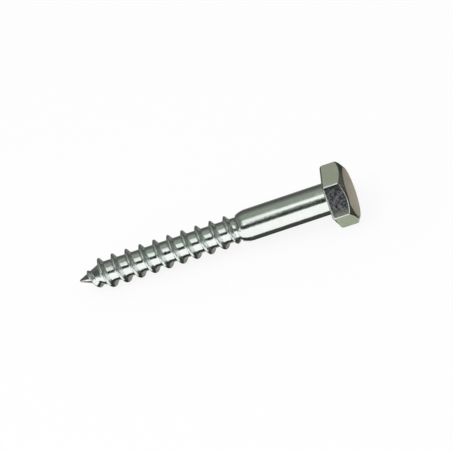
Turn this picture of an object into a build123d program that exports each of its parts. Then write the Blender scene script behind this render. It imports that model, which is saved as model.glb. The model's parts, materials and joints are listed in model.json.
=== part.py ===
from build123d import *
from math import asin, atan2, ceil, cos, degrees, pi, radians, sin, sqrt, tan
import os

# Lag screw: a hex-headed wood screw, cold headed and thread rolled from one steel wire.
# Millimetres. It is first made upright, with the bearing face under the head at z = 0,
# the head above it and the gimlet point below, and it is then laid down as it would rest.

# Hex head
across_flats = 17.0
head_height = 6.5
head_top_diameter = 15.2
head_chamfer_angle = 33.0
head_corner_radius = 0.8
head_lower_edge_radius = 0.45

# Plain shank, with the rounded shoulder where the rolled thread begins
length_under_head = 79.9
shank_diameter = 9.5
shank_length = 25.1
under_head_radius = 0.5
shoulder_length = 3.1
shoulder_end_diameter = 8.2
shoulder_step_length = 0.4

# Thread root and gimlet point
root_diameter = 6.9
point_length = 7.7
point_nose_radius = 0.45

# Wood thread, right hand. The ridge starts low and thin on the point and runs out at the shoulder.
thread_pitch = 4.5
crest_diameter = 9.8
crest_diameter_at_shoulder = 9.5
crest_width = 0.5
point_side_flank_width = 0.6
head_side_flank_width = 0.95
thread_start_from_tip = 0.98
thread_start_angle = -208.5
thread_rise_length = 7.0
thread_start_width_share = 0.4
thread_run_out_length = 2.0
ridge_root_depth = 0.25
sections_per_turn = 16

# Worked out from the sizes above
shank_radius = shank_diameter / 2
root_radius = root_diameter / 2
shoulder_end_radius = shoulder_end_diameter / 2
shoulder_end = -shank_length - shoulder_length
thread_end = shoulder_end - shoulder_step_length
tip = -length_under_head
point_top = tip + point_length
thread_start = tip + thread_start_from_tip
turns = (thread_end - thread_start) / thread_pitch

# The side of the point is a cone that touches the small round nose.
nose_centre = tip + point_nose_radius
nose_to_corner = sqrt(root_radius**2 + (point_top - nose_centre) ** 2)
point_half_angle = degrees(
    atan2(root_radius, point_top - nose_centre) - asin(point_nose_radius / nose_to_corner)
)
nose_edge_radius = point_nose_radius * cos(radians(point_half_angle))
nose_edge = nose_centre - point_nose_radius * sin(radians(point_half_angle))


def core_radius(z):
    """Radius of the threaded core at height z: the cone of the point, then the root."""
    on_point = nose_edge_radius + (z - nose_edge) * tan(radians(point_half_angle))
    return min(on_point, root_radius)


def eased(share):
    """A smooth step from 0 to 1, level at both ends."""
    share = min(max(share, 0.0), 1.0)
    return (1 - cos(pi * share)) / 2


def full_ridge_height(z):
    """Height of the whole thread above the root, which falls a little towards the shoulder."""
    share = (z - thread_start) / (thread_end - thread_start)
    diameter = crest_diameter + (crest_diameter_at_shoulder - crest_diameter) * share
    return diameter / 2 - root_radius


def risen(z):
    """How far the thread has risen out of the point at height z, from 0 to 1."""
    return sin(pi / 2 * min(max((z - thread_start) / thread_rise_length, 0.0), 1.0))


def crest_radius(z):
    """Radius of the crest, which rises out of the point and sinks into the root again."""
    buried = -ridge_root_depth / 2
    not_run_out = eased((thread_end - z) / thread_run_out_length)
    return core_radius(z) + buried + (full_ridge_height(z) - buried) * risen(z) * not_run_out


# The screw upright: head first
with BuildPart() as upright_screw:
    with BuildSketch():
        RegularPolygon(across_flats / 2, 6, major_radius=False, rotation=30)
    extrude(amount=head_height)
    fillet(upright_screw.edges().filter_by(Axis.Z), head_corner_radius)

    # The corners are turned away above, which leaves the curved edges on the flats.
    outside_radius = across_flats
    chamfer_drop = (outside_radius - head_top_diameter / 2) * tan(radians(head_chamfer_angle))
    with BuildSketch(Plane.XZ):
        with BuildLine():
            Polyline(
                (head_top_diameter / 2, head_height),
                (outside_radius, head_height),
                (outside_radius, head_height - chamfer_drop),
                close=True,
            )
        make_face()
    revolve(axis=Axis.Z, mode=Mode.SUBTRACT)

    bearing_face = upright_screw.faces().sort_by(Axis.Z)[0]
    fillet(bearing_face.edges(), head_lower_edge_radius)

    # Shank, shoulder, root and point are one turned profile.
    with BuildSketch(Plane.XZ):
        with BuildLine():
            Line((0, head_height / 2), (0, tip))
            RadiusArc((0, tip), (nose_edge_radius, nose_edge), -point_nose_radius)
            Line((nose_edge_radius, nose_edge), (root_radius, point_top))
            Line((root_radius, point_top), (root_radius, thread_end))
            Line((root_radius, thread_end), (shoulder_end_radius, shoulder_end))
            TangentArc(
                (shank_radius, -shank_length),
                (shoulder_end_radius, shoulder_end),
                tangent=(0, -1),
            )
            Line((shank_radius, -shank_length), (shank_radius, -under_head_radius))
            RadiusArc(
                (shank_radius, -under_head_radius),
                (shank_radius + under_head_radius, 0),
                under_head_radius,
            )
            Polyline(
                (shank_radius + under_head_radius, 0),
                (shank_radius + under_head_radius, head_height / 2),
                (0, head_height / 2),
            )
        make_face()
    revolve(axis=Axis.Z)

    # The thread is one ridge. Each turn of it is lofted through sections that turn and climb
    # together, and the next turn goes on from its last section.
    section_total = ceil(turns * sections_per_turn)
    for first_section in range(0, section_total, sections_per_turn):
        last_section = min(first_section + sections_per_turn, section_total)
        for section in range(first_section, last_section + 1):
            share = section / section_total
            angle = radians(thread_start_angle + 360 * turns * share)
            z = thread_start + (thread_end - thread_start) * share
            below_root = 1 + ridge_root_depth / full_ridge_height(z)
            width_share = thread_start_width_share + (1 - thread_start_width_share) * risen(z)
            half_crest = crest_width / 2 * width_share
            point_side = half_crest + point_side_flank_width * below_root * width_share
            head_side = half_crest + head_side_flank_width * below_root * width_share
            foot_radius = core_radius(z - point_side) - ridge_root_depth
            section_plane = Plane(
                origin=(0, 0, z),
                x_dir=(cos(angle), sin(angle), 0),
                z_dir=(sin(angle), -cos(angle), 0),
            )
            with BuildSketch(section_plane):
                with BuildLine():
                    Polyline(
                        (foot_radius, -point_side),
                        (crest_radius(z), -half_crest),
                        (crest_radius(z), half_crest),
                        (foot_radius, head_side),
                        close=True,
                    )
                make_face()
        loft()

# Laid down: it rests on the rounded lower edge of one flat and on the last full crest by the
# point, on that crest's corner towards the tip, so its axis tips a little, head end higher.
resting_crest = thread_start + thread_pitch * ((180 - thread_start_angle) % 360) / 360
while resting_crest < point_top:
    resting_crest += thread_pitch
resting_radius = crest_radius(resting_crest)
resting_corner = resting_crest - crest_width / 2
edge_radius = head_lower_edge_radius
fall = across_flats / 2 - edge_radius - resting_radius
run = edge_radius - resting_corner
tilt = atan2(fall, run) + asin(edge_radius / sqrt(fall**2 + run**2))
axis_height = resting_radius * cos(tilt) - resting_corner * sin(tilt)

reach_to_tip = nose_centre * cos(tilt) - point_nose_radius
reach_to_head = head_height * cos(tilt) + head_top_diameter / 2 * sin(tilt)
resting_plane = Plane(
    origin=(-(reach_to_tip + reach_to_head) / 2, 0, axis_height),
    x_dir=(-sin(tilt), 0, cos(tilt)),
    z_dir=(cos(tilt), 0, sin(tilt)),
)

with BuildPart() as lag_screw:
    with Locations(resting_plane.location):
        add(upright_screw.part)

lag_screw.part.label = "lag_screw"
os.makedirs("parts", exist_ok=True)
export_step(lag_screw.part, "parts/lag_screw.step")
print("tilt", round(degrees(tilt), 3), "axis height", round(axis_height, 3))
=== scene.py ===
import json
from math import acos, asin, atan2, cos, degrees, hypot, pi, radians, sin, sqrt, tan
import bmesh
import bpy
from mathutils import Matrix, Vector


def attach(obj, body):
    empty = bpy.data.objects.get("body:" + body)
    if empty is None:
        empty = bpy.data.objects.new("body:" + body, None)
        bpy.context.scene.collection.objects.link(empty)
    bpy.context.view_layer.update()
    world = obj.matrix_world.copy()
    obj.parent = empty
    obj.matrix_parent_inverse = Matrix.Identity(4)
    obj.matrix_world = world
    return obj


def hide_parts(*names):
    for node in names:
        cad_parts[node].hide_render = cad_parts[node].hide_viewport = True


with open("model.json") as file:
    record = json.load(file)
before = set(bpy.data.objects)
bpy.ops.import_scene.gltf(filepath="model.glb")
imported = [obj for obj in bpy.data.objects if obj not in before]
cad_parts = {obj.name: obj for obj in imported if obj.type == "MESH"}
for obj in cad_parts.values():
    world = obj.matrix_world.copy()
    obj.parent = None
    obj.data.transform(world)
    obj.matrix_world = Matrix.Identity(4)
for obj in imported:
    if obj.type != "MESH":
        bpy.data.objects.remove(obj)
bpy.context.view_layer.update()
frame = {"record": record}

# The screw lies on one flat of its head and on a crest near its point, so its axis is tipped.
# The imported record's mounts say where: the bearing face under the head and the way to the tip.
# The screw is modelled upright in millimetres, bearing face at z = 0 and point down, and laid.
mounts = {mount["name"]: mount for mount in frame["record"]["mounts"]}
under_head = Vector(mounts["under_head_face"]["pos_m"])
axis_start = Vector((under_head.x, 0, under_head.z))
to_head = -Vector(mounts["under_head_face"]["axis"]).normalized()
to_front = Vector((0, -1, 0))
to_upper_flat = to_front.cross(to_head)
mm = 0.001
laid = Matrix((to_upper_flat, to_front, to_head)).transposed().to_4x4()
laid.translation = axis_start
laid_in_mm = laid @ Matrix.Scale(mm, 4)

# The hex head is cold headed from the steel wire and trimmed to six flats. Its corners are
# turned away on top, a little off the middle, which leaves a curved edge on each flat, and
# every edge is a little rounded.
across_flats = 17.0
head_height = 6.49
head_top_radius = 7.65
chamfer_off_middle = 0.4
chamfer_off_towards = radians(140)
head_chamfer_angle = radians(32)
head_corner_radius = 0.8
head_lower_edge_radius = 0.85
head_upper_edge_size = 0.26
edge_segments = 5
steps_around = 120
apothem = across_flats / 2
chamfer_middle = Vector(
    (
        chamfer_off_middle * cos(chamfer_off_towards),
        chamfer_off_middle * sin(chamfer_off_towards),
        0,
    )
)


def carried(mesh, ring, placed):
    """Extrudes a closed ring of edges, moves each new vertex to placed(co), gives the new ring."""
    made = bmesh.ops.extrude_edge_only(mesh, edges=ring)["geom"]
    new_vertices = {part for part in made if isinstance(part, bmesh.types.BMVert)}
    for vertex in new_vertices:
        vertex.co = placed(vertex.co)
    return [edge for edge in mesh.edges if new_vertices.issuperset(edge.verts)]


def at_radius(co, radius, z):
    """The point beside co at that radius and height."""
    return Vector((*(co.xy.normalized() * radius), z))


screw = bmesh.new()
outline = bmesh.ops.create_circle(screw, segments=6, radius=apothem / cos(radians(30)))["verts"]
bmesh.ops.bevel(
    screw,
    geom=outline,
    offset=head_corner_radius * tan(radians(30)),
    offset_type="OFFSET",
    segments=edge_segments,
    profile=0.5,
    affect="VERTICES",
    material=-1,
)
flat_length = max(edge.calc_length() for edge in screw.edges)
long_edges = [edge for edge in screw.edges if edge.calc_length() > flat_length / 2]
bmesh.ops.subdivide_edges(screw, edges=long_edges, cuts=steps_around // 6 - edge_segments - 1)

# The lower edge is rolled over from the bearing face up to the flats.
ring = list(screw.edges)
reach = (apothem - head_lower_edge_radius) / apothem
for vertex in screw.verts:
    vertex.co *= reach
for step in range(1, edge_segments + 1):
    turn = radians(90) * step / edge_segments
    width = (apothem - head_lower_edge_radius * (1 - sin(turn))) / apothem
    lift = head_lower_edge_radius * (1 - cos(turn))
    ring = carried(
        screw, ring, lambda co: Vector((co.x * width / reach, co.y * width / reach, lift))
    )
    reach = width


def under_chamfer(co):
    """The point above co where the flat ends, one rolled edge below the turned chamfer."""
    out_from_top = (co - chamfer_middle).xy.length - head_top_radius
    fall = out_from_top * tan(head_chamfer_angle)
    return Vector((co.x, co.y, head_height - fall - head_upper_edge_size))


# The edge where the turned chamfer meets the flats, then the edge round the top, are rolled
# over in small steps.
ring = carried(screw, ring, under_chamfer)
inward = 0
raised = 0
for step in range(1, edge_segments + 1):
    share = step / edge_segments
    new_inward = head_upper_edge_size * share**2 * cos(head_chamfer_angle)
    new_raised = head_upper_edge_size * (2 * share - share**2 + share**2 * sin(head_chamfer_angle))
    move = (new_inward - inward, new_raised - raised)
    ring = carried(screw, ring, lambda co: at_radius(co, co.xy.length - move[0], co.z + move[1]))
    inward, raised = new_inward, new_raised
for step in range(edge_segments + 1):
    share = step / edge_segments
    radius = head_top_radius + head_upper_edge_size * ((1 - share) ** 2 - share**2)
    z = head_height - head_upper_edge_size * (1 - share) ** 2 * tan(head_chamfer_angle)
    ring = carried(
        screw, ring, lambda co: at_radius(co - chamfer_middle, radius, z) + chamfer_middle
    )
bmesh.ops.edgeloop_fill(screw, edges=ring)

# The shank is the plain wire under the head, with a small radius against the head and a
# rounded shoulder where the rolling dies squeezed the thread out of it.
length_under_head = 79.9
shank_radius = 4.75
shank_length = 25.1
under_head_radius = 0.5
shoulder_length = 3.1
shoulder_end_radius = 4.1
shoulder_step_length = 0.4
shoulder_segments = 8
root_radius = 3.45
shoulder_end = -shank_length - shoulder_length
thread_end = shoulder_end - shoulder_step_length

shoulder_fall = shank_radius - shoulder_end_radius
shoulder_arc_radius = (shoulder_length**2 + shoulder_fall**2) / (2 * shoulder_fall)
shank_profile = [(root_radius, thread_end)]
for step in range(shoulder_segments + 1):
    below = shoulder_length * (1 - step / shoulder_segments)
    fall = shoulder_arc_radius - sqrt(shoulder_arc_radius**2 - below**2)
    shank_profile.append((shank_radius - fall, -shank_length - below))
for step in range(edge_segments + 1):
    turn = radians(90) * step / edge_segments
    shank_profile.append(
        (shank_radius + under_head_radius * (1 - cos(turn)), -under_head_radius * (1 - sin(turn)))
    )
line = [screw.verts.new((radius, 0, z)) for radius, z in shank_profile]
profile_edges = [screw.edges.new(pair) for pair in zip(line, line[1:])]
bmesh.ops.spin(
    screw,
    geom=line + profile_edges,
    cent=(0, 0, 0),
    axis=(0, 0, 1),
    angle=2 * pi,
    steps=steps_around,
    use_merge=True,
)

# The flat bearing face joins the head's lower edge to the radius at the top of the shank.
open_edges = [edge for edge in screw.edges if edge.is_boundary]
open_under_head = [edge for edge in open_edges if edge.verts[0].co.z > -shank_length]
bmesh.ops.bridge_loops(screw, edges=open_under_head)

# The thread is rolled: one coarse right-hand ridge that starts thin on the gimlet point,
# grows to its full height on the cone and runs out at the shoulder.
point_length = 7.7
point_nose_radius = 0.45
thread_pitch = 4.5
crest_radius = 4.9
crest_radius_at_shoulder = 4.75
crest_width = 0.5
point_side_flank = 0.6
head_side_flank = 0.95
thread_start_from_tip = 0.98
thread_start_angle = -208.5
thread_rise_length = 7.0
thread_start_width_share = 0.3
thread_run_out_length = 2.0
crest_rounding = 0.3
root_rounding = 0.3

tip = -length_under_head
point_top = tip + point_length
thread_start = tip + thread_start_from_tip
nose_centre = tip + point_nose_radius
nose_to_corner = hypot(root_radius, point_top - nose_centre)
half_angle = acos((point_top - nose_centre) / nose_to_corner)
half_angle -= asin(point_nose_radius / nose_to_corner)
nose_edge = nose_centre - point_nose_radius * sin(half_angle)
full_height = crest_radius - root_radius


def core_radius(z):
    """Radius of the core at height z: the round nose, the cone of the point, then the root."""
    if z < nose_edge:
        return sqrt(max(point_nose_radius**2 - (z - nose_centre) ** 2, 0.0))
    on_cone = point_nose_radius * cos(half_angle) + (z - nose_edge) * tan(half_angle)
    return min(on_cone, root_radius)


def eased(share):
    """A smooth step from 0 to 1."""
    return (1 - cos(pi * min(max(share, 0.0), 1.0))) / 2


def softer_max(a, b, rounding):
    """The larger of two heights, with the corner between them rounded."""
    return max(a, b) + max(rounding - abs(a - b), 0) ** 2 / rounding / 4


def ridge_height(offset):
    """Height above the root at an axial distance from the middle of the crest."""
    point_line = (crest_width / 2 + point_side_flank + offset) * full_height / point_side_flank
    head_line = (crest_width / 2 + head_side_flank - offset) * full_height / head_side_flank
    flanks = min(point_line, head_line)
    under_crest = full_height - softer_max(full_height - flanks, 0, crest_rounding)
    return softer_max(under_crest, 0, root_rounding)


def spread(start, end, count):
    """Evenly spaced distances from start, without the end."""
    return [start + (end - start) * step / count for step in range(count)]


# One turn is spun from a line along the root. The line has more points where the ridge bends,
# beside its feet and its crest, and the turn is then repeated along the screw.
beside_foot = 0.2
beside_crest = 0.1
spare_turns = 2
turns_merged_within = 0.005
point_foot = -crest_width / 2 - point_side_flank
point_crest = -crest_width / 2 - beside_crest
head_crest = crest_width / 2 + beside_crest
head_foot = crest_width / 2 + head_side_flank
next_turn = point_foot - beside_foot + thread_pitch
offsets = (
    spread(point_foot - beside_foot, point_foot + beside_foot, count=6)
    + spread(point_foot + beside_foot, point_crest, count=3)
    + spread(point_crest, head_crest, count=8)
    + spread(head_crest, head_foot - beside_foot, count=4)
    + spread(head_foot - beside_foot, head_foot + beside_foot, count=5)
    + spread(head_foot + beside_foot, next_turn, count=6)
    + [next_turn]
)
first_crest = thread_start - thread_pitch * thread_start_angle / 360 - spare_turns * thread_pitch
turns = int((thread_end - first_crest) / thread_pitch) + spare_turns
thread = bmesh.new()
line = [thread.verts.new((root_radius, 0, first_crest + offset)) for offset in offsets]
profile_edges = [thread.edges.new(pair) for pair in zip(line, line[1:])]
bmesh.ops.spin(
    thread,
    geom=line + profile_edges,
    cent=(0, 0, 0),
    axis=(0, 0, 1),
    dvec=(0, 0, thread_pitch / steps_around),
    angle=2 * pi,
    steps=steps_around,
)
one_turn = thread.verts[:] + thread.edges[:] + thread.faces[:]
for turn in range(1, turns):
    copied = bmesh.ops.duplicate(thread, geom=one_turn)["geom"]
    copied_vertices = [part for part in copied if isinstance(part, bmesh.types.BMVert)]
    bmesh.ops.translate(thread, verts=copied_vertices, vec=(0, 0, turn * thread_pitch))
bmesh.ops.remove_doubles(thread, verts=thread.verts, dist=turns_merged_within)

# Rings cut round the nose give it enough faces to be round. What would lie past the tip or
# past the shoulder is drawn back to the tip or to the shoulder's ring, and merged away.
nose_ring_shares = (0.03, 0.12, 0.3, 0.55, 0.8)
merged_within = 0.001
for share in nose_ring_shares:
    bmesh.ops.bisect_plane(
        thread,
        geom=thread.verts[:] + thread.edges[:] + thread.faces[:],
        plane_co=(0, 0, tip + point_nose_radius * share),
        plane_no=(0, 0, 1),
    )
for vertex in thread.verts:
    z = min(max(vertex.co.z, tip), thread_end)
    angle = degrees(atan2(vertex.co.y, vertex.co.x))
    turns_from_start = (z - thread_start) / thread_pitch - angle / 360
    turns_from_crest = (turns_from_start + thread_start_angle / 360 + 0.5) % 1 - 0.5
    share = (z - thread_start) / (thread_end - thread_start)
    tapered = 1 + (crest_radius_at_shoulder - crest_radius) * share / full_height
    risen = sin(pi / 2 * min(max((z - thread_start) / thread_rise_length, 0.0), 1.0))
    not_run_out = eased((thread_end - z) / thread_run_out_length)
    width_share = thread_start_width_share + (1 - thread_start_width_share) * risen
    full_ridge = ridge_height(turns_from_crest * thread_pitch / width_share)
    ridge = full_ridge * tapered * risen * not_run_out
    vertex.co = at_radius(vertex.co, core_radius(z) + ridge, z)

thread_mesh = bpy.data.meshes.new("thread_part")
thread.to_mesh(thread_mesh)
thread.free()
screw.from_mesh(thread_mesh)
bpy.data.meshes.remove(thread_mesh)
bmesh.ops.remove_doubles(screw, verts=screw.verts, dist=merged_within)
bmesh.ops.recalc_face_normals(screw, faces=screw.faces)
bmesh.ops.transform(screw, matrix=laid_in_mm, verts=screw.verts)

screw_mesh = bpy.data.meshes.new("lag_screw_plated")
screw.to_mesh(screw_mesh)
screw.free()
screw_mesh.shade_smooth()
plated_screw = bpy.data.objects.new("lag_screw_plated", screw_mesh)
bpy.context.scene.collection.objects.link(plated_screw)
plated_screw.modifiers.new("flat_faces_stay_flat", "WEIGHTED_NORMAL").keep_sharp = True
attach(plated_screw, "root")
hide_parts("lag_screw")


# Bright zinc plating covers the whole screw. It is glossy on the drawn shank and the rolled
# thread and more satin on the head, where one pair of flats keeps the mottled forging skin.
class Wire:
    """A shader socket that takes part in Python expressions and adds Math nodes as it goes."""

    def __init__(self, nodes, socket):
        self.nodes = nodes
        self.socket = socket

    def node(self, kind, settings, values, output=0):
        """Any node: its settings first, then the values or wires of its sockets."""
        made = self.nodes.new(kind)
        for name, value in settings.items():
            setattr(made, name, value)
        for name, value in values.items():
            if isinstance(value, Wire):
                self.nodes.id_data.links.new(value.socket, made.inputs[name])
            else:
                made.inputs[name].default_value = value
        return Wire(self.nodes, made.outputs[output])

    def math(self, operation, *others):
        values = dict(enumerate((self, *others)))
        return self.node("ShaderNodeMath", {"operation": operation}, values)

    def __add__(self, other):
        return self.math("ADD", other)

    def __sub__(self, other):
        return self.math("SUBTRACT", other)

    def __mul__(self, other):
        return self.math("MULTIPLY", other)

    def __rsub__(self, other):
        return self.node("ShaderNodeMath", {"operation": "SUBTRACT"}, {0: other, 1: self})

    __radd__ = __add__
    __rmul__ = __mul__

    def smooth(self, start, end):
        """0 below start, 1 above end, eased between."""
        return self.node(
            "ShaderNodeMapRange", {"interpolation_type": "SMOOTHSTEP"}, {0: self, 1: start, 2: end}
        )

    def mixed(self, other, share):
        """This colour where share is 0, the other where it is 1."""
        values = {"Factor": share, 6: self, 7: other}
        return self.node("ShaderNodeMix", {"data_type": "RGBA"}, values, output=2)

    def noise(self, scale, detail, roughness):
        values = {"Vector": self, "Scale": scale, "Detail": detail, "Roughness": roughness}
        return self.node("ShaderNodeTexNoise", {}, values)


def blend(start, end, share):
    """A number that goes from start to end with share."""
    return start + (end - start) * share


zinc = bpy.data.materials.new("zinc_plating")
zinc.use_nodes = True
zinc_nodes = zinc.node_tree.nodes
shader = zinc_nodes["Principled BSDF"]
zinc_start = Wire(zinc_nodes, None)
to_local = laid.inverted()
mapping = {
    "Vector": zinc_start.node("ShaderNodeTexCoord", {}, {}, output="Object"),
    "Location": to_local.translation / mm,
    "Rotation": to_local.to_euler(),
    "Scale": Vector((1, 1, 1)) / mm,
}
place = zinc_start.node("ShaderNodeMapping", {}, mapping)
up, front, along = (
    zinc_start.node("ShaderNodeSeparateXYZ", {}, {0: place}, output=axis) for axis in "XYZ"
)


def flat_facing(angle):
    """Where the surface is one of the two flats that face along the angle and away from it."""
    across = up * cos(radians(angle)) + front * sin(radians(angle))
    return across.math("ABSOLUTE").smooth(apothem - 0.06, apothem - 0.015)


# Where each finish lies on the screw
on_head = along.smooth(-0.12, 0.02)
on_bearing_face = on_head * (1 - along.smooth(0.02, 0.1))
on_lower_edge = on_head * (1 - along.smooth(0.5, 0.85))
on_top = along.smooth(head_height - 0.08, head_height - 0.02)
off_axis = (up * up + front * front).math("SQRT")
over_chamfer = along - head_height + (off_axis - head_top_radius) * tan(head_chamfer_angle)
on_side = (1 - over_chamfer.smooth(-0.05, -0.015)) * on_head
forged_flat = flat_facing(60) * on_side
trimmed_flat = flat_facing(0).math("MAXIMUM", flat_facing(120)) * on_side
satin = trimmed_flat + on_bearing_face
across_forged = front * cos(radians(60)) - up * sin(radians(60))
rubbed = across_forged.smooth(1.5, 5.2)
rolled = 1 - along.smooth(shoulder_end - 0.3, shoulder_end + 0.3)
on_thread = rolled * off_axis.smooth(3.5, 3.95)

# Patterns in the plating: clouds on shank and thread, a tan and a grain on the satin flats, the
# forging mottle, the ripple of rolling, the lines of drawing and the ground lines of the top
drawn_stretch = {"Vector": place, "Scale": Vector((3.2, 3.2, 0.25))}
ground_stretch = {
    "Vector": place,
    "Rotation": Vector((0, 0, radians(35))),
    "Scale": Vector((0.3, 2.4, 1.0)),
}
drawn_place = zinc_start.node("ShaderNodeMapping", {}, drawn_stretch)
ground_place = zinc_start.node("ShaderNodeMapping", {}, ground_stretch)
cloudy = place.noise(scale=0.35, detail=3.0, roughness=0.55).smooth(0.3, 0.7)
tanned = place.noise(scale=0.22, detail=2.0, roughness=0.5).smooth(0.4, 0.6)
grain = place.noise(scale=6.0, detail=4.0, roughness=0.6).smooth(0.3, 0.7)
mottle = place.noise(scale=1.3, detail=4.0, roughness=0.75).smooth(0.38, 0.68)
ripple = place.noise(scale=1.3, detail=3.0, roughness=0.6)
drawn = drawn_place.noise(scale=1.0, detail=4.0, roughness=0.6)
ground = ground_place.noise(scale=1.0, detail=4.0, roughness=0.65)

white_zinc = (0.96, 0.985, 0.96, 1)
clouded_zinc = (0.90, 0.94, 0.90, 1)
rolled_zinc = (0.95, 1.0, 0.98, 1)
flank_zinc = (0.72, 0.80, 0.775, 1)
edge_zinc = (0.95, 0.96, 0.90, 1)
lower_edge_zinc = (0.66, 0.72, 0.64, 1)
satin_zinc = (0.66, 0.74, 0.60, 1)
satin_grain = (0.56, 0.64, 0.50, 1)
tanned_zinc = (0.62, 0.60, 0.44, 1)
top_zinc = (0.54, 0.50, 0.40, 1)
top_lines = (0.39, 0.355, 0.28, 1)
forged_dark = (0.035, 0.035, 0.04, 1)
forged_light = (0.34, 0.35, 0.36, 1)
forged_rubbed = (0.42, 0.46, 0.36, 1)


def plain(colour):
    """A colour as a wire, through a mix that can't be told from the colour itself."""
    values = {"Factor": 0.0, 6: colour, 7: colour}
    return zinc_start.node("ShaderNodeMix", {"data_type": "RGBA"}, values, output=2)


shank_colour = plain(clouded_zinc).mixed(white_zinc, cloudy)
thread_colour = shank_colour.mixed(rolled_zinc, rolled * 0.5).mixed(flank_zinc, on_thread * 0.45)
satin_colour = plain(satin_grain).mixed(satin_zinc, grain).mixed(tanned_zinc, tanned * 0.5)
mottle_shown = blend(0.3, 1.0, across_forged.smooth(-5.0, -2.0))
forged_colour = plain(forged_dark).mixed(forged_light, mottle * mottle_shown)
forged_colour = forged_colour.mixed(forged_rubbed, rubbed * 0.75)
top_colour = plain(top_lines).mixed(top_zinc, ground.smooth(0.35, 0.65))
edge_colour = plain(edge_zinc).mixed(lower_edge_zinc, on_lower_edge)
head_colour = edge_colour.mixed(satin_colour, satin).mixed(forged_colour, forged_flat)
colour = thread_colour.mixed(head_colour, on_head).mixed(top_colour, on_top)

shank_roughness = blend(0.13, 0.2, cloudy) + on_thread * 0.06
flat_roughness = blend(0.44, 0.54, grain)
forged_roughness = blend(0.45, 0.34, mottle)
edge_roughness = 0.16 * (1 - satin - forged_flat - on_top)
head_roughness = (
    edge_roughness + flat_roughness * (satin + on_top) + forged_roughness * forged_flat
)
roughness = blend(shank_roughness, head_roughness, on_head)
metallic = 1 - trimmed_flat * 0.3
relief = (
    (drawn * 0.004 + cloudy * 0.01 + ripple * blend(0.012, 0.03, rolled)) * (1 - on_head)
    + grain * 0.004 * on_head
    + mottle * 0.05 * forged_flat
    + ground * 0.03 * on_top
)
bump = zinc_start.node("ShaderNodeBump", {}, {"Strength": 1.0, "Distance": mm, "Height": relief})

surface = {"Base Color": colour, "Roughness": roughness, "Metallic": metallic, "Normal": bump}
for name, wire in surface.items():
    zinc.node_tree.links.new(wire.socket, shader.inputs[name])
screw_mesh.materials.append(zinc)


# The studio: a pale floor under an even white sky, one soft lamp, and cards that only the polished
# metal sees, set round the screw as a photographer stands them, to give it its bands. The grey
# cards laid on the floor just under and behind the screw and by its head are painted shade: in the
# metal they stand in for the floor's shadow.
def seen_direct(start):
    """1 where the camera sees a surface, or sees it in a gloss or through glass, else 0."""
    camera_ray, glossy_ray, glass_ray = (
        start.node("ShaderNodeLightPath", {}, {}, output=ray)
        for ray in ("Is Camera Ray", "Is Glossy Ray", "Is Transmission Ray")
    )
    return camera_ray.math("MAXIMUM", glossy_ray.math("MAXIMUM", glass_ray))


floor_half_size = 1.5
floor_whiteness = 0.87
floor_mesh = bpy.data.meshes.new("floor")
floor_sheet = bmesh.new()
bmesh.ops.create_grid(floor_sheet, x_segments=1, y_segments=1, size=floor_half_size)
floor_sheet.to_mesh(floor_mesh)
floor_sheet.free()
floor = bpy.data.objects.new("floor", floor_mesh)
bpy.context.scene.collection.objects.link(floor)
paper = bpy.data.materials.new("pale_paper")
paper.use_nodes = True
paper_nodes = paper.node_tree.nodes
paper_shader = paper_nodes["Principled BSDF"]
paper_shader.inputs["Base Color"].default_value = (0.9, 0.9, 0.9, 1)
paper_shader.inputs["Roughness"].default_value = 0.9
paper_shader.inputs["Specular IOR Level"].default_value = 0.0
paper_start = Wire(paper_nodes, None)
lit_paper = Wire(paper_nodes, paper_shader.outputs["BSDF"])
white_paper = paper_start.node(
    "ShaderNodeEmission", {}, {"Color": (1, 1, 1, 1), "Strength": 1.0}
)
shares = {0: seen_direct(paper_start) * floor_whiteness, 1: lit_paper, 2: white_paper}
shown = paper_start.node("ShaderNodeMixShader", {}, shares)
paper.node_tree.links.new(shown.socket, paper_nodes["Material Output"].inputs["Surface"])
floor_mesh.materials.append(paper)

card_distance = 0.25
card_reach = 0.55
card_segments = 12
card_height = 0.00015
axis_height = axis_start.z


def card(name, sheet, level):
    """A grey card that only reflections see."""
    card_mesh = bpy.data.meshes.new(name)
    sheet.to_mesh(card_mesh)
    sheet.free()
    made = bpy.data.objects.new(name, card_mesh)
    bpy.context.scene.collection.objects.link(made)
    grey = bpy.data.materials.new(name)
    grey.use_nodes = True
    grey_shader = grey.node_tree.nodes["Principled BSDF"]
    grey_shader.inputs["Base Color"].default_value = (0, 0, 0, 1)
    grey_shader.inputs["Specular IOR Level"].default_value = 0.0
    grey_shader.inputs["Emission Color"].default_value = (*level, 1)
    grey_shader.inputs["Emission Strength"].default_value = 1.0
    card_mesh.materials.append(grey)
    made.visible_camera = False
    made.visible_diffuse = False
    made.visible_transmission = False
    made.visible_shadow = False


def curved(first, last, left=-card_reach, right=card_reach):
    """A card bent round the screw between two turns in degrees: 0 is overhead, 90 in front."""
    sheet = bmesh.new()
    y = -card_distance * sin(radians(first))
    z = axis_height + card_distance * cos(radians(first))
    ends = [sheet.verts.new((x, y, z)) for x in (left, right)]
    rim = sheet.edges.new(ends)
    bmesh.ops.spin(
        sheet,
        geom=ends + [rim],
        cent=(0, 0, axis_height),
        axis=(1, 0, 0),
        angle=radians(last) - radians(first),
        steps=card_segments,
    )
    return sheet


def laid_flat(left, right, near, far, slant=0.0, above=card_height):
    """A card just above the floor, whose near edge is nearer by the slant at its right end."""
    sheet = bmesh.new()
    for corner in bmesh.ops.create_grid(sheet, x_segments=1, y_segments=1, size=1)["verts"]:
        at_right = corner.co.x > 0
        y = far if corner.co.y > 0 else near - slant * at_right
        corner.co = (right if at_right else left, y, above)
    return sheet


def upright(x, bottom, top, near=card_distance):
    """A card that stands beyond an end of the screw, across the others."""
    sheet = bmesh.new()
    for corner in bmesh.ops.create_grid(sheet, x_segments=1, y_segments=1, size=1)["verts"]:
        y = card_distance if corner.co.x > 0 else -near
        corner.co = (x, y, top if corner.co.y > 0 else bottom)
    return sheet


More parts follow.
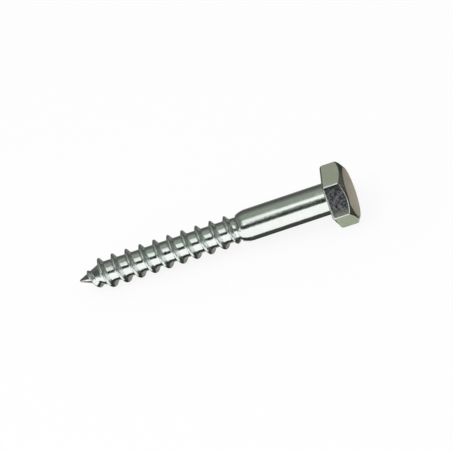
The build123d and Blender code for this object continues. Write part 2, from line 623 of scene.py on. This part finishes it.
card("back_card", curved(-92, -56), (0.085, 0.09, 0.08))
card("back_upper_card", curved(-56, -36), (0.15, 0.16, 0.15))
card("overhead_card", curved(-36, 7, left=-0.14, right=-0.013), (0.25, 0.28, 0.24))
card("overhead_card_beyond_point", curved(-36, 44, right=-0.14), (0.155, 0.16, 0.15))
card("overhead_card_beyond_head", curved(-8, 42, left=0.012), (0.12, 0.13, 0.12))
card("overhead_card_by_head", curved(-36, -8, left=-0.013), (0.25, 0.28, 0.24))
card("overhead_edge_card", curved(7, 12, left=-0.05, right=-0.013), (0.55, 0.6, 0.54))
card("overhead_edge_beside_thread", curved(7, 30, left=-0.14, right=-0.05), (0.78, 0.84, 0.77))
card("camera_card", curved(32, 69.5, left=-0.05, right=-0.013), (0.03, 0.045, 0.034))
card("camera_card_by_head", curved(42, 70, left=-0.013, right=0.15), (0.04, 0.052, 0.042))
card("camera_card_beside_thread", curved(44, 72.5, left=-0.25, right=-0.05), (0.015, 0.025, 0.02))
# The four cards laid just under and behind the thread and the shank are painted shade: in the
# metal they stand in for the floor's shadow round the screw.
card(
    "under_thread_painted_shade",
    laid_flat(-0.06, 0.009, near=-0.0055, far=-0.003, slant=0.0034),
    (0.025, 0.03, 0.025),
)
card(
    "under_shank_painted_shade",
    laid_flat(0.009, 0.0355, near=-0.0089, far=0, slant=0.0013),
    (0.048, 0.054, 0.048),
)
card("behind_thread_painted_shade", laid_flat(-0.06, 0.009, near=-0.003, far=0.006), (0.27, 0.26, 0.235))
card("behind_shank_painted_shade", laid_flat(0.009, 0.0355, near=0, far=0.006), (0.33, 0.33, 0.3))
card("far_back_card", laid_flat(-0.3, 0.0355, near=0.006, far=0.3), (0.2, 0.195, 0.18))
# This card under the head is painted shade: in the metal it stands in for the floor's shadow under
# the head.
card("under_head_painted_shade", laid_flat(0.0357, 0.0438, near=-0.02, far=0.02), (0.42, 0.46, 0.4))
card("beyond_head_card", laid_flat(0.0439, 0.5, near=-0.2, far=0.25), (0.04, 0.042, 0.034))
# This lighter grey card beyond the head is painted shade: in the head's top it stands in for the
# floor's shadow beyond the head.
card(
    "behind_head_painted_shade",
    laid_flat(0.0439, 0.065, near=-0.003, far=0.026, above=0.0004),
    (0.75, 0.72, 0.68),
)
card("head_end_card", upright(card_reach, 0, 0.25), (0.08, 0.08, 0.07))
card("point_end_low_card", upright(-0.35, 0, 0.075, near=0.33), (0.24, 0.27, 0.25))
card("point_end_card", upright(-0.35, 0.075, 0.27), (0.07, 0.075, 0.07))

sky_light = 0.75
sky = bpy.data.worlds.new("studio")
bpy.context.scene.world = sky
sky.use_nodes = True
sky_nodes = sky.node_tree.nodes
background = sky_nodes["Background"].inputs
background["Color"].default_value = (1, 1, 1, 1)
sky_strength = sky_light + seen_direct(Wire(sky_nodes, None)) * (1 - sky_light)
sky.node_tree.links.new(sky_strength.socket, background["Strength"])

lamp = bpy.data.lights.new("softbox", "AREA")
lamp.shape = "SQUARE"
lamp.size = 0.5
lamp.energy = 1.6
softbox = bpy.data.objects.new("softbox", lamp)
bpy.context.scene.collection.objects.link(softbox)
softbox.location = (-0.15, -0.25, 0.6)
softbox.rotation_euler = (-softbox.location).to_track_quat("-Z", "Y").to_euler()
softbox.visible_glossy = False

# The camera stands where the photograph was taken from, as fitted to the screw's outline: the
# view makes view_to_axis with the way to the head, the head's upper flat is turned from the top
# of the picture towards the camera, the picture is rolled, and middle_pixel shows the middle.
picture_size = 452
view_to_axis = radians(76.85)
upper_flat_turn = radians(40.16)
picture_roll = radians(18.52)
pixels_per_mm = 3.4013
camera_distance = 588.0
sensor_width = 36
middle_pixel = Vector((214.31, 236.35))
fitted_length_under_head = 79.33
fitted_head_height = 6.56
middle = (fitted_head_height - fitted_length_under_head) / 2

screen_up = cos(upper_flat_turn) * to_upper_flat - sin(upper_flat_turn) * to_front
screen_near = sin(upper_flat_turn) * to_upper_flat + cos(upper_flat_turn) * to_front
back = sin(view_to_axis) * screen_near + cos(view_to_axis) * to_head
along_picture = sin(view_to_axis) * to_head - cos(view_to_axis) * screen_near
picture_right = cos(picture_roll) * along_picture - sin(picture_roll) * screen_up
picture_up = sin(picture_roll) * along_picture + cos(picture_roll) * screen_up
aside = (picture_size / 2 - middle_pixel.x) / pixels_per_mm
above = (middle_pixel.y - picture_size / 2) / pixels_per_mm
stand = axis_start + mm * (
    middle * to_head + camera_distance * back + aside * picture_right + above * picture_up
)
lens = bpy.data.cameras.new("camera")
lens.sensor_width = sensor_width
lens.lens = sensor_width * pixels_per_mm * camera_distance / picture_size
lens.clip_start = 0.01
camera = bpy.data.objects.new("camera", lens)
bpy.context.scene.collection.objects.link(camera)
turned = Matrix((picture_right, picture_up, back)).transposed().to_4x4()
camera.matrix_world = Matrix.Translation(stand) @ turned
bpy.context.scene.camera = camera
bpy.context.scene.view_settings.view_transform = "Standard"
